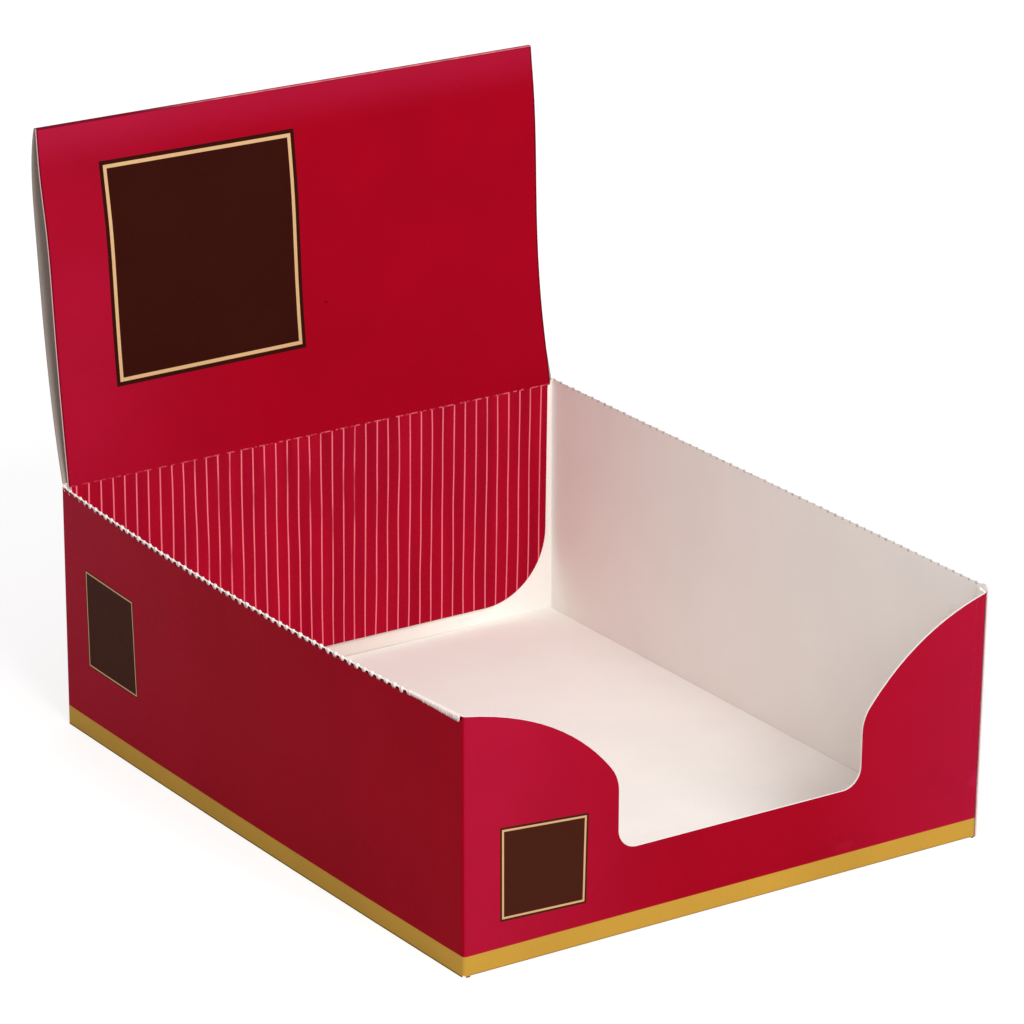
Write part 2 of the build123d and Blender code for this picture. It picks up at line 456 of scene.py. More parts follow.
def ink_group():
    """Printed ink under a satin varnish, on board that is a little uneven."""
    tree, given, result = new_group("Printed ink", SURFACE_INPUTS, SURFACE_OUTPUTS)
    place = given["Place"]
    mottle = tree.noise(place, 34.0, 3.0)
    grain = tree.noise(place, 0.55, 2.0)
    peel = tree.noise(place, 1.6, 1.0)
    sag = tree.noise(place, 48.0, 1.0)
    level = tree.math(
        "ADD",
        tree.mapped(mottle, 0.3, 0.7, 0.95, 1.05),
        tree.mapped(grain, 0.3, 0.7, -0.02, 0.02),
    )
    tree.feed(result["Colour"], tree.shade(given["Colour"], level))
    tree.feed(result["Roughness"], tree.mapped(peel, 0.3, 0.7, 0.4, 0.48))
    relief = tree.math("ADD", tree.product(sag, 0.35), tree.product(peel, 0.004))
    tree.feed(result["Height"], tree.math("ADD", relief, tree.product(grain, 0.002)))
    return tree.tree


def board_group():
    """Bare coated board with short fibres and faint clouds."""
    tree, given, result = new_group("Bare board", SURFACE_INPUTS, SURFACE_OUTPUTS)
    place = given["Place"]
    clouds = tree.noise(place, 26.0, 3.0)
    fibres = tree.noise(tree.vector("MULTIPLY", place, (0.35, 1.0, 1.0)), 0.4, 3.0, 0.65, 0.6)
    tooth = tree.noise(place, 0.9, 2.0)
    level = tree.math(
        "ADD",
        tree.mapped(clouds, 0.3, 0.7, 0.98, 1.01),
        tree.mapped(fibres, 0.3, 0.7, -0.02, 0.015),
    )
    tree.feed(result["Colour"], tree.shade(given["Colour"], level))
    tree.feed(result["Roughness"], tree.mapped(tooth, 0.3, 0.7, 0.62, 0.75))
    relief = tree.math("ADD", tree.product(fibres, 0.012), tree.product(tooth, 0.01))
    tree.feed(result["Height"], relief)
    return tree.tree


def square_group():
    """A square with a thin line just inside its edge, from the lines of its four sides."""
    sides = [(f"Side {n}", "NodeSocketVector") for n in range(1, 5)]
    tree, given, result = new_group(
        "Lined square",
        [
            ("Place", "NodeSocketVector"),
            *sides,
            ("Line width", "NodeSocketFloat"),
            ("Border", "NodeSocketFloat"),
        ],
        [("Square", "NodeSocketFloat"), ("Line", "NodeSocketFloat")],
    )
    inside = tree.least(*[tree.dot(given["Place"], given[name]) for name, _ in sides])
    outer = tree.negative(given["Border"])
    tree.feed(result["Square"], tree.above(inside, outer, PRINT_SOFT))
    line = tree.product(
        tree.above(inside, -PRINT_SOFT / 2, PRINT_SOFT),
        tree.below(inside, given["Line width"], PRINT_SOFT),
    )
    tree.feed(result["Line"], line)
    return tree.tree


def tear_group():
    """How far the torn white face reaches down from a rim, along the ties of a perforation."""
    tree, given, result = new_group(
        "Torn ties",
        [("Along", "NodeSocketFloat"), ("Place", "NodeSocketVector")],
        [("Reach", "NodeSocketFloat")],
    )
    off_tie = tree.off_step(given["Along"], TIE_PITCH)
    bead = tree.below(off_tie, 0.22, 0.14)
    rag = tree.noise(given["Place"], 0.8, 2.0, 0.6)
    swell = tree.noise(given["Place"], 5.0, 1.0)
    settled = tree.above(given["Along"], 2.0, 14.0)
    depth = tree.product(bead, tree.mapped(swell, 0.3, 0.7, 0.35, 0.85), settled)
    reach = tree.math("ADD", depth, tree.mapped(rag, 0.25, 0.75, -0.05, 0.3))
    tree.feed(result["Reach"], reach)
    return tree.tree


def scuff_group():
    """A soft patch round a place, as a dent or a rubbed corner shows."""
    tree, given, result = new_group(
        "Scuff",
        [
            ("Place", "NodeSocketVector"),
            ("Centre", "NodeSocketVector"),
            ("Size", "NodeSocketVector"),
        ],
        [("Patch", "NodeSocketFloat")],
    )
    away = tree.vector("SUBTRACT", given["Place"], given["Centre"])
    away = tree.vector("DIVIDE", away, given["Size"])
    ragged = tree.mapped(tree.noise(given["Place"], 3.0, 2.0), 0.3, 0.7, -0.15, 0.15)
    reach = tree.math("ADD", tree.math("SQRT", tree.dot(away, away)), ragged)
    tree.feed(result["Patch"], tree.below(reach, 0.1, 0.9))
    return tree.tree


def shared_groups():
    """The effects that several finishes share, built once."""
    makers = {
        "ink": ink_group,
        "board": board_group,
        "square": square_group,
        "tear": tear_group,
        "scuff": scuff_group,
    }
    for name, make in makers.items():
        if f"box {name}" not in bpy.data.node_groups:
            make().name = f"box {name}"
    return {name: bpy.data.node_groups[f"box {name}"] for name in makers}


class Finish:
    """A material of the carton: print laid over bare board by a mask."""

    def __init__(self, name):
        self.material = bpy.data.materials.new(name)
        self.tree = emptied(self.material)
        self.groups = shared_groups()
        coordinates = self.tree.add("ShaderNodeTexCoord").outputs
        self.place = self.tree.vector("SCALE", coordinates["Object"])
        self.place.node.inputs["Scale"].default_value = 1 / MM
        self.x, self.y, self.z = self.tree.split(self.place)
        self.normal = coordinates["Normal"]
        self.across, self.along, self.up = self.tree.split(self.normal)

    def group(self, name, **inputs):
        """A shared effect, placed with its own values."""
        node = self.tree.add("ShaderNodeGroup", node_tree=self.groups[name])
        for label, source in inputs.items():
            self.tree.feed(node.inputs[label.replace("_", " ")], source)
        return node.outputs

    def square(self, first, second, corners, line_width, border):
        """The masks of a lined square in a panel's plane."""
        place = self.tree.join(first, second, 1.0)
        sides = {}
        for n, (start, end) in enumerate(zip(corners, corners[1:] + corners[:1]), 1):
            along = (Vector(end) - Vector(start)).normalized()
            inward = Vector((-along.y, along.x))
            sides[f"Side_{n}"] = (inward.x, inward.y, -inward.dot(Vector(start)))
        return self.group("square", Place=place, Line_width=line_width, Border=border, **sides)

    def scuff(self, centre, size):
        """The mask of a soft patch at a place."""
        return self.group("scuff", Place=self.place, Centre=centre, Size=size)["Patch"]

    def lean(self, fuzzy):
        """The shading normal, leaned forwards and up where torn fibres stand."""
        forwards, up = (self.tree.product(fuzzy, share) for share in FUZZ_LEAN)
        leaned = self.tree.vector("ADD", self.normal, self.tree.join(0.0, forwards, up))
        return self.tree.vector("NORMALIZE", leaned)

    def finish(self, printed, ink_colour, board_colour, metal=0.0, relief=0.0, fuzzy=None):
        """Joins ink and board by the print mask and ends the material."""
        tree = self.tree
        ink = self.group("ink", Place=self.place, Colour=ink_colour)
        board = self.group("board", Place=self.place, Colour=board_colour)
        colour = tree.mix(printed, board["Colour"], ink["Colour"])
        roughness = tree.blend(printed, board["Roughness"], ink["Roughness"])
        height = tree.math("ADD", tree.blend(printed, board["Height"], ink["Height"]), relief)
        bump = tree.add("ShaderNodeBump", {"Strength": 1.0, "Distance": MM, "Height": height})
        if fuzzy is not None:
            tree.feed(bump.inputs["Normal"], self.lean(fuzzy))
        shader = tree.add(
            "ShaderNodeBsdfPrincipled",
            {
                "Base Color": colour,
                "Roughness": roughness,
                "Metallic": metal,
                "Specular IOR Level": GLOSS,
                "Normal": bump.outputs["Normal"],
            },
        )
        output = tree.add("ShaderNodeOutputMaterial")
        tree.feed(output.inputs["Surface"], shader.outputs["BSDF"])
        return self.material


def bowed_side(finish):
    """How far the left wall stands out, at a place on it."""
    tree = finish.tree
    along = tree.math("DIVIDE", finish.y, HALF_DEPTH - FOLD_RADIUS)
    shape = tree.math("SUBTRACT", 1.0, tree.math("MULTIPLY", along, along))
    swell = tree.mapped(finish.z, 0.0, WALL_HEIGHT, FOOT_BULGE, RIM_BULGE)
    left = tree.below(finish.x, -1.0, 2.0)
    return tree.product(tree.math("MAXIMUM", shape, 0.0), swell, left)


def leaning_front(finish):
    """How far the front wall stands out, at a place on it."""
    tree = finish.tree
    share = CORNER_LEAN / (2 * HALF_WIDTH * WALL_HEIGHT)
    front = tree.below(finish.y, -1.0, 2.0)
    return tree.product(tree.math("ADD", finish.x, HALF_WIDTH), finish.z, front, share)


def round_corner(finish, out_x, out_y):
    """How far a place is from the middle line of the nearest corner fold or wall."""
    tree = finish.tree
    out_x = tree.math("MAXIMUM", out_x, 0.0)
    out_y = tree.math("MAXIMUM", out_y, 0.0)
    squares = tree.math("ADD", tree.product(out_x, out_x), tree.product(out_y, out_y))
    return tree.math("SQRT", squares)


def outer_skin(finish, depth):
    """The mask of the tray's outside, down to a depth under its walls' faces and corner folds."""
    tree = finish.tree
    straight_x = tree.math("ADD", finish.x, bowed_side(finish))
    straight_y = tree.math("ADD", finish.y, leaning_front(finish))
    out_x = tree.math("SUBTRACT", tree.math("ABSOLUTE", straight_x), HALF_WIDTH - FOLD_RADIUS)
    out_y = tree.math("SUBTRACT", tree.math("ABSOLUTE", straight_y), HALF_DEPTH - FOLD_RADIUS)
    away = round_corner(finish, out_x, out_y)
    walls = tree.above(tree.math("ADD", away, depth), FOLD_RADIUS - 0.03, 0.06)
    under_lap = tree.product(
        tree.above(finish.x, HALF_WIDTH - BOARD - FOLD_RADIUS, 0.02),
        tree.below(finish.x, HALF_WIDTH - BOARD + 0.02, 0.02),
        tree.below(straight_y, -HALF_DEPTH + FOLD_RADIUS, 0.02),
    )
    lapped_x = tree.math("SUBTRACT", finish.x, HALF_WIDTH - BOARD - FOLD_RADIUS)
    lapped = tree.above(round_corner(finish, lapped_x, out_y), FOLD_RADIUS - 0.2, 0.1)
    skin = tree.blend(under_lap, walls, lapped)
    side = tree.math("SIGN", finish.x)
    end = tree.math("SIGN", finish.y)
    outward = tree.math(
        "ADD",
        tree.product(finish.across, side, tree.above(out_x, 0.0, 0.02)),
        tree.product(finish.along, end, tree.above(out_y, 0.0, 0.02)),
    )
    facing = tree.above(outward, 0.3, 0.2)
    raw_edge = tree.product(
        tree.above(finish.x, HALF_WIDTH - BOARD + 0.02, 0.02),
        tree.above(tree.negative(finish.along), 0.6, 0.2),
    )
    return tree.product(skin, facing, tree.without(raw_edge))


def finish_edge(finish):
    """The mask of the right wall's cut front end, which laps over the front panel."""
    return finish.tree.above(finish.x, HALF_WIDTH - BOARD + 0.02, 0.02)


def tray_finish(printing, board):
    """The tray: red outside with a gold band and two squares, bare board elsewhere."""
    finish = Finish("tray board")
    tree = finish.tree
    on_right = tree.above(finish.x, -0.5, 1.0)
    rim = tree.blend(on_right, WALL_HEIGHT, RIGHT_RIM)
    rim_along = tree.math("SUBTRACT", HALF_DEPTH - REAR_MARGIN, finish.y)
    reach = finish.group("tear", Along=rim_along, Place=finish.place)["Reach"]
    torn_edge = tree.math("SUBTRACT", tree.math("SUBTRACT", rim, TIE_HEIGHT), reach)
    torn = tree.above(finish.z, torn_edge, 0.12)
    peeled = tree.product(
        tree.above(tree.negative(finish.across), 0.5, 0.2),
        tree.below(finish.y, -HALF_DEPTH + PEEL_LENGTH + 1.4, 0.3),
        tree.above(finish.z, WALL_HEIGHT - PEEL_DEPTH, 0.2),
        tree.without(on_right),
    )
    depth = tree.blend(tree.most(torn, peeled), 0.45, 0.16)
    skin = outer_skin(finish, depth)
    on_side = tree.above(tree.math("ABSOLUTE", finish.across), 0.5, 0.2)
    off_front = tree.above(finish.y, -HALF_DEPTH + FOLD_RADIUS, 0.3)
    torn = tree.product(torn, on_side, tree.without(peeled), off_front)
    skin = tree.product(skin, tree.without(torn))
    below = tree.above(tree.negative(finish.up), 0.6, 0.2)
    underside = tree.product(below, tree.below(finish.z, 0.1, 0.1))
    worn = finish.scuff(WORN_PLACE, WORN_SIZE)
    printed = tree.product(tree.most(skin, underside), tree.below(worn, 0.3, 0.2))
    front = tree.above(tree.negative(finish.along), 0.7, 0.1)
    left = tree.above(tree.negative(finish.across), 0.7, 0.1)
    front_square = finish.square(finish.x, finish.z, FRONT_SQUARE, 0.62, 0.8)
    left_square = finish.square(finish.y, finish.z, LEFT_SQUARE, 0.4, 0.5)
    square, line = (
        tree.most(tree.product(front, front_square[part]), tree.product(left, left_square[part]))
        for part in ("Square", "Line")
    )
    foot = tree.below(finish.z, printing.band_height / MM, 0.1)
    band = tree.product(foot, tree.without(underside))
    dents = []
    for (x, out, z), size, strength in FRONT_DENTS:
        dents.append(tree.product(finish.scuff((x, -HALF_DEPTH - out, z), size), strength))
    dent = tree.most(*dents)
    off_middle = tree.gap(finish.x, WINDOW_MIDDLE)
    off_rear = tree.below(finish.y, -HALF_DEPTH + 0.8, 0.4)
    # Paler painted-sheen red towards both ends of the front wall, with painted highlights growing
    # towards the rear of the left wall and at the dents
    front_sheen = tree.product(front, tree.mapped(off_middle, 25.0, 90.0, *FRONT_SHEEN))
    left_sheen = tree.product(left, tree.mapped(finish.y, 10.0, HALF_DEPTH, 0.0, LEFT_SHEEN))
    painted_shading = tree.most(dent, front_sheen, left_sheen)
    ink = tree.mix(painted_shading, printing.red[:], printing.painted_sheen[:])
    # Darker towards the middle of the front wall
    shaded = tree.product(front, tree.without(tree.mapped(off_middle, 20.0, 60.0, 0.0, 1.0)))
    ink = tree.darken(ink, shaded, FRONT_MIDDLE_SHADE)
    ink = tree.mix(square, ink, printing.tray_brown[:])
    ink = tree.mix(line, ink, printing.keyline[:])
    ink = tree.mix(band, ink, printing.gold[:])
    # Painted shadow: the red just under each side wall's rim is darkened in the gaps between the
    # torn ties
    off_tie = tree.off_step(rim_along, TIE_PITCH)
    notch_shadow = tree.product(
        tree.above(off_tie, 0.26, 0.1),
        tree.above(finish.z, tree.shifted(rim, -TIE_HEIGHT - 0.95), 0.3),
        tree.above(rim_along, 10.0, 8.0),
        on_side,
    )
    ink = tree.darken(ink, notch_shadow, NOTCH_SHADE)
    # Painted shade: the red is darkened from just short of the front's right-hand corner fold
    # outwards, over the right wall's whole outside too
    beside_edge = tree.product(off_rear, tree.above(finish.x, HALF_WIDTH - BOARD - 0.95, 0.3))
    ink = tree.darken(ink, beside_edge, TRAY_EDGE_SHADE)
    # Painted shade: a thin darker line of red along the walls' foot, at the bottom fold
    painted_foot_shade = tree.product(tree.below(finish.z, 0.35, 0.3), tree.without(underside))
    ink = tree.darken(ink, painted_foot_shade, FOOT_SHADE)
    metal = tree.product(tree.most(band, line), printed, TRAY_METAL)
    relief = tree.product(dent, DENT_DEPTH)
    raw_edge = tree.shade(board.cut_edge[:], RAW_EDGE_SHADE)
    bare = tree.mix(tree.product(off_rear, finish_edge(finish)), board.white[:], raw_edge)
    rag = tree.mapped(tree.noise(finish.place, 1.3, 2.0), 0.35, 0.65, 0.35, 1.0)
    torn_top = tree.product(tree.above(finish.z, WALL_HEIGHT - 0.5, 0.2), on_right, rag)
    torn_top = tree.product(torn_top, tree.above(finish.up, 0.2, 0.2))
    bare = tree.mix(torn_top, bare, board.torn_grey[:])
    # Painted shade: the bare board low on the back wall's inside is darkened, fully left of the
    # middle and fading out towards the right
    painted_back_shade = tree.product(
        tree.above(finish.y, HALF_DEPTH - 1.6, 0.3),
        tree.below(finish.z, 14.0, 8.0),
        tree.mapped(finish.x, 0.0, 75.0, 1.0, 0.0),
    )
    bare = tree.mix(painted_back_shade, bare, board.painted_shading[:])
    fuzzy = tree.product(peeled, tree.without(printed))
    return finish.finish(printed, ink, bare, metal, relief, fuzzy)


def pinstripes(finish, printing):
    """The mask of the thin lines on the tuck flap, which lean and waver a little."""
    tree = finish.tree
    pitch = printing.stripe_pitch / MM
    width = printing.stripe_width / MM
    below_crease = tree.math("SUBTRACT", FLAP_CREASE_HEIGHT, finish.z)
    lean = tree.product(below_crease, tree.above(finish.x, -20.0, 50.0), 0.02)
    waver_place = tree.vector("MULTIPLY", finish.place, (1.0, 1.0, 0.3))
    waver = tree.mapped(tree.noise(waver_place, 11.0, 1.0), 0.3, 0.7, -0.22, 0.22)
    from_first = tree.math("ADD", finish.x, STRIPE_START)
    place = tree.math("ADD", from_first, tree.math("ADD", lean, waver))
    turn = tree.math("DIVIDE", place, pitch)
    nearest = tree.math("ROUND", turn)
    off_line = tree.product(tree.gap(turn, nearest), pitch)
    line = tree.below(off_line, width * 0.3, width * 0.35)
    lot = tree.join(tree.product(nearest, 7.0), 0.0, tree.product(finish.z, 0.16))
    fade = tree.mapped(tree.noise(lot, 3.2, 1.0), 0.32, 0.5, 0.25, 1.0)
    middle = tree.gap(finish.x, -12.0)
    high = tree.above(finish.z, 38.0, 14.0)
    faded = tree.product(tree.below(middle, 26.0, 22.0), high)
    strength = tree.blend(faded, tree.mapped(fade, 0.0, 1.0, 0.75, 1.0), fade)
    top = tree.below(finish.z, FLAP_CREASE_HEIGHT + 0.7, 0.3)
    return tree.product(line, strength, top)


def crease_cracks(finish):
    """The mask of the broken pale line along the flap's crease."""
    tree = finish.tree
    off_crease = tree.gap(finish.z, FLAP_CREASE_HEIGHT + 0.25)
    line = tree.below(off_crease, 0.12, 0.16)
    along = tree.vector("MULTIPLY", finish.place, (1.0, 0.0, 0.0))
    dashes = tree.above(tree.noise(along, 3.0, 2.0), 0.44, 0.14)
    strength = tree.mapped(finish.x, -HALF_WIDTH, 20.0, 0.2, 0.65)
    return tree.product(line, dashes, strength)


def fold_crack(finish, line):
    """A thin line of cracked print along the top fold, on its right two thirds."""
    tree = finish.tree
    along = tree.vector("MULTIPLY", finish.place, (1.0, 0.0, 0.0))
    ragged = tree.mapped(tree.noise(along, 6.0, 2.0), 0.35, 0.65, 0.5, 1.0)
    return tree.product(line, tree.above(finish.x, -62.0, 40.0), ragged)


def over_the_fold(finish):
    """How far a place is above a line one board's thickness under the header's top fold."""
    tree = finish.tree
    line = tree.math("ADD", tree.product(finish.x, FOLD_RISE), FOLD_Z - BOARD - FOLD_GAP / 2)
    return tree.math("SUBTRACT", finish.z, line)


def sheet_masks(finish, fold, outwards):
    """The masks of a header sheet's bent top, of all but its cut side edges, and of its print."""
    tree = finish.tree
    over_fold = tree.product(tree.above(fold, 0.0, 0.1), tree.above(finish.up, 0.2, 0.2))
    not_edge = tree.below(tree.math("ABSOLUTE", finish.across), 0.8, 0.1)
    printed = tree.product(tree.most(tree.above(outwards, 0.3, 0.2), over_fold), not_edge)
    return over_fold, not_edge, printed


def header_front_finish(printing, board):
    """The header's front sheet and its striped tuck flap."""
    finish = Finish("header front board")
    tree = finish.tree
    fold = over_the_fold(finish)
    _, not_edge, printed = sheet_masks(finish, fold, tree.negative(finish.along))
    square = finish.square(finish.x, finish.z, HEADER_SQUARE, 1.2, 1.5)
    flap = tree.below(finish.z, FLAP_CREASE_HEIGHT, 0.2)
    # Painted highlights: a paler red near the top fold and, in soft clouds, towards the left end;
    # an even share also lightens the tuck flap
    near_fold = tree.above(fold, -16.0, 17.0)
    near_left = tree.below(finish.x, -HALF_WIDTH, 90.0)
    cloud = tree.mapped(tree.noise(finish.place, 60.0, 1.0), 0.35, 0.65, 0.6, 1.0)
    from_left = tree.product(near_left, cloud, HEADER_LEFT_SHEEN)
    painted_sheen = tree.math("ADD", tree.product(near_fold, FOLD_SHEEN), from_left)
    painted_sheen = tree.product(tree.math("MINIMUM", painted_sheen, 1.0), tree.without(flap))
    streak_place = tree.vector("MULTIPLY", finish.place, (1.0, 1.0, 0.06))
    streaks = tree.mapped(tree.noise(streak_place, 7.0, 2.0), 0.3, 0.7, 0.9, 1.16)
    painted_sheen = tree.most(painted_sheen, tree.product(flap, FLAP_SHEEN))
    ink = tree.mix(painted_sheen, printing.red[:], printing.painted_sheen[:])
    ink = tree.shade(ink, tree.blend(flap, 1.0, streaks))
    # Painted shade: the red is darkened along both side edges of the sheet above the flap and
    # along the top fold
    edge_x = tree.mapped(finish.z, FLAP_CREASE_HEIGHT, FOLD_Z, SHEET_EDGE_FOOT, SHEET_EDGE_FOLD)
    from_edge = tree.math("SUBTRACT", edge_x, tree.math("ABSOLUTE", finish.x))
    beside_edge = tree.product(tree.below(from_edge, 0.35, 0.5), tree.without(flap))
    painted_edge_shade = tree.most(beside_edge, tree.above(fold, -0.1, 0.2))
    ink = tree.darken(ink, painted_edge_shade, HEADER_EDGE_SHADE)
    pale = tree.most(
        tree.product(pinstripes(finish, printing), flap),
        crease_cracks(finish),
        fold_crack(finish, tree.product(tree.above(fold, 0.2, 0.1), tree.below(fold, 0.5, 0.15))),
    )
    ink = tree.mix(pale, ink, printing.pinstripe[:])
    ink = tree.mix(square["Square"], ink, printing.brown[:])
    ink = tree.mix(square["Line"], ink, printing.keyline[:])
    ink = tree.darken(ink, finish.scuff(SPECK_PLACE, SPECK_SIZE), SPECK_SHADE)
    metal = tree.product(square["Line"], printed, HEADER_METAL)
    bare = tree.mix(not_edge, board.cut_edge[:], board.white[:])
    return finish.finish(printed, ink, bare, metal)


def header_back_finish(printing, board):
    """The header's rear sheet, plain red outside, with painted shade on its bent top and on its
    inner board towards both ends.
    """
    finish = Finish("header back board")
    tree = finish.tree
    over_fold, _, printed = sheet_masks(finish, over_the_fold(finish), finish.along)
    # Painted shade: the red of the sheet's bent top over the fold is darkened
    ink = tree.darken(printing.red[:], over_fold, OVER_FOLD_SHADE)
    # Painted shade: the bare board inside the rear sheet darkens towards both of its ends
    end = tree.above(tree.math("ABSOLUTE", finish.x), HALF_WIDTH - 24.0, 20.0)
    bare = tree.mix(tree.product(end, 0.9), board.white[:], board.painted_fold_shade[:])
    return finish.finish(printed, ink, bare)


def fibre_finish(name, colour):
    """Torn board fibres, whose fuzz also catches the light from the front and from above."""
    return Finish(name).finish(0.0, colour, colour, fuzzy=1.0)


def crease_finish(printing, board):
    """The bent board of a fold, its red outside darkened as painted shade, with the top fold's
    print cracked open.
    """
    finish = Finish("crease board")
    tree = finish.tree
    outside = tree.above(tree.math("ADD", finish.along, finish.up), 0.3, 0.2)
    cracked = fold_crack(finish, tree.above(finish.z, FOLD_Z - 10.0, 1.0))
    # Painted shade: the strips' red is darkened to half
    ink = tree.shade(printing.red[:], CREASE_SHADE)
    ink = tree.mix(cracked, ink, printing.pinstripe[:])
    return finish.finish(outside, ink, board.white[:])


def set_material(obj, material):
    """Gives an object one material."""
    obj.data.materials.clear()
    obj.data.materials.append(material)


def new_piece(name, mesh, material):
    """Ends a bmesh as a named object at the origin, smooth, with its material."""
    mesh.normal_update()
    data = bpy.data.meshes.new(name)
    mesh.to_mesh(data)
    mesh.free()
    for face in data.polygons:
        face.use_smooth = True
    data.materials.append(material)
    piece = bpy.data.objects.new(name, data)
    bpy.context.scene.collection.objects.link(piece)
    return piece


def wall_offset(y, z):
    """How far the left wall stands out past its corners, at a place on it."""
    along = y / (HALF_DEPTH - FOLD_RADIUS)
    swell = FOOT_BULGE + (RIM_BULGE - FOOT_BULGE) * z / WALL_HEIGHT
    return max(0.0, 1 - along * along) * swell


def add_tuft(mesh, place, size, turn, seed):
    """One ragged lump of torn board."""
    made = bmesh.ops.create_uvsphere(mesh, u_segments=8, v_segments=5, radius=0.5)["verts"]
    bmesh.ops.scale(mesh, verts=made, vec=size)
    for vert in made:
        vert.co += 0.14 * noise.noise_vector(vert.co * 2.1 + seed * 3)
    bmesh.ops.transform(mesh, matrix=Matrix.Rotation(turn, 4, "X"), verts=made)
    bmesh.ops.translate(mesh, verts=made, vec=place)


def end_tufts(mesh, name, rim, material):
    """Keeps the tufts inside the wall's own bounds and ends them as a piece."""
    for vert in mesh.verts:
        vert.co.z = min(vert.co.z, rim)
        vert.co.x = min(max(vert.co.x, tray_low.x), HALF_WIDTH)
    bmesh.ops.scale(mesh, verts=mesh.verts, vec=Vector((MM, MM, MM)))
    return new_piece(name, mesh, material)


def peel_tufts(material):
    """The torn board by the left front corner, where the tear ran into the printed face."""
    mesh = bmesh.new()
    start = -HALF_DEPTH + PEEL_LENGTH
    count = int((PEEL_LENGTH - 1.6) / PEEL_TUFT_STEP)
    for n in range(count):
        y = start - n * PEEL_TUFT_STEP
        seed = Vector((3.1 * n, 9.7, 2.2))
        jitter = noise.noise_vector(seed)
        share = n / count
        tall = 1.5 + 1.3 * share + 0.5 * jitter.y
        size = Vector((BOARD * 1.2, 2.4 * (1 + 0.4 * jitter.x), tall))
        x = -HALF_WIDTH - wall_offset(y, WALL_HEIGHT) + BOARD * 0.36
        place = Vector((x, y, WALL_HEIGHT - tall / 2 + 0.1))
        add_tuft(mesh, place, size, 0.3 * jitter.z, seed)
    return end_tufts(mesh, "left_peel_tufts", WALL_HEIGHT, material)


def torn_tufts(name, front_end, rim, side, board, material):
    """The ragged tufts that the perforation's ties left along one rim; side is -1 for the left."""
    mesh = bmesh.new()
    rear_end = HALF_DEPTH - REAR_MARGIN
    count = int((rear_end - front_end - NUB_RADIUS) / TIE_PITCH) + 1
    length = board.tuft_length / MM
    for n in range(count):
        y = rear_end - n * TIE_PITCH
        face = HALF_WIDTH + (wall_offset(y, rim) if side < 0 else 0.0)
        seed = Vector((7.3 * n, 1.7 * side, 0.4))
        jitter = noise.noise_vector(seed)
        grown = min(1.0, 0.35 + n * 0.16) if side < 0 else 0.7
        tall = 1.65 * (1 + 0.35 * jitter.y) * grown
        size = Vector((BOARD * 1.1, length * (1 + 0.3 * jitter.x) * grown, tall))
        depth = BOARD * (0.3 if side < 0 else 0.62)
        place = Vector((side * (face - depth), y + 0.35 * jitter.x, rim - 0.1 - tall / 2))
        add_tuft(mesh, place, size, 0.4 * jitter.z, seed)
    return end_tufts(mesh, name, rim, material)


def crease_strip(name, profile, half_length, rise, material):
    """A bent strip of board along a crease, from its section in Y and Z at mid-length."""
    mesh = bmesh.new()
    ring = [mesh.verts.new((-half_length, y, z)) for y, z in profile]
    edges = [mesh.edges.new((ring[n - 1], ring[n])) for n in range(len(ring))]
    for _ in range(STRIP_STEPS):
        made = bmesh.ops.extrude_edge_only(mesh, edges=edges)["geom"]
        verts = [item for item in made if isinstance(item, bmesh.types.BMVert)]
        bmesh.ops.translate(mesh, verts=verts, vec=(2 * half_length / STRIP_STEPS, 0, 0))
        edges = [
            item
            for item in made
            if isinstance(item, bmesh.types.BMEdge) and all(v in verts for v in item.verts)
        ]
    for vert in mesh.verts:
        vert.co.z += rise * vert.co.x
    bmesh.ops.holes_fill(mesh, edges=[e for e in mesh.edges if e.is_boundary])
    bmesh.ops.recalc_face_normals(mesh, faces=mesh.faces)
    bmesh.ops.scale(mesh, verts=mesh.verts, vec=Vector((MM, MM, MM)))
    return new_piece(name, mesh, material)


class BOX_OT_tray(bpy.types.Operator):
    """Prints the tray and leaves its inside and cut edges bare"""

    bl_idname = "display_box.tray"
    bl_label = "Finish tray"

    def execute(self, context):
        scene = context.scene
        set_material(frame["nodes"]["tray"], tray_finish(scene.box_print, scene.box_board))
        return {"FINISHED"}


class BOX_OT_header(bpy.types.Operator):
    """Prints both sheets of the header, with the striped tuck flap"""

    bl_idname = "display_box.header"
    bl_label = "Finish header"

    def execute(self, context):
        scene = context.scene
        set_material(
            frame["nodes"]["header_front"], header_front_finish(scene.box_print, scene.box_board)
        )
        set_material(
            frame["nodes"]["header_back"], header_back_finish(scene.box_print, scene.box_board)
        )
        return {"FINISHED"}


class BOX_OT_torn_rims(bpy.types.Operator):
    """Adds the torn tufts along the two side walls' rims"""

    bl_idname = "display_box.torn_rims"
    bl_label = "Add torn rims"

    def execute(self, context):
        board = context.scene.box_board
        noise.seed_set(NOISE_SEED)
        pale = fibre_finish("torn fibres", board.fibre[:])
        grey = fibre_finish("grey torn fibres", board.torn_grey[:])
        left_end = -HALF_DEPTH + PEEL_LENGTH
        right_end = -HALF_DEPTH - CORNER_LEAN + FRONT_MARGIN
        left = torn_tufts("left_rim_tufts", left_end, WALL_HEIGHT, -1, board, pale)
        right = torn_tufts("right_rim_tufts", right_end, RIGHT_RIM, 1, board, grey)
        for piece in (left, right, peel_tufts(pale)):
            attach(piece, "tray")
        return {"FINISHED"}


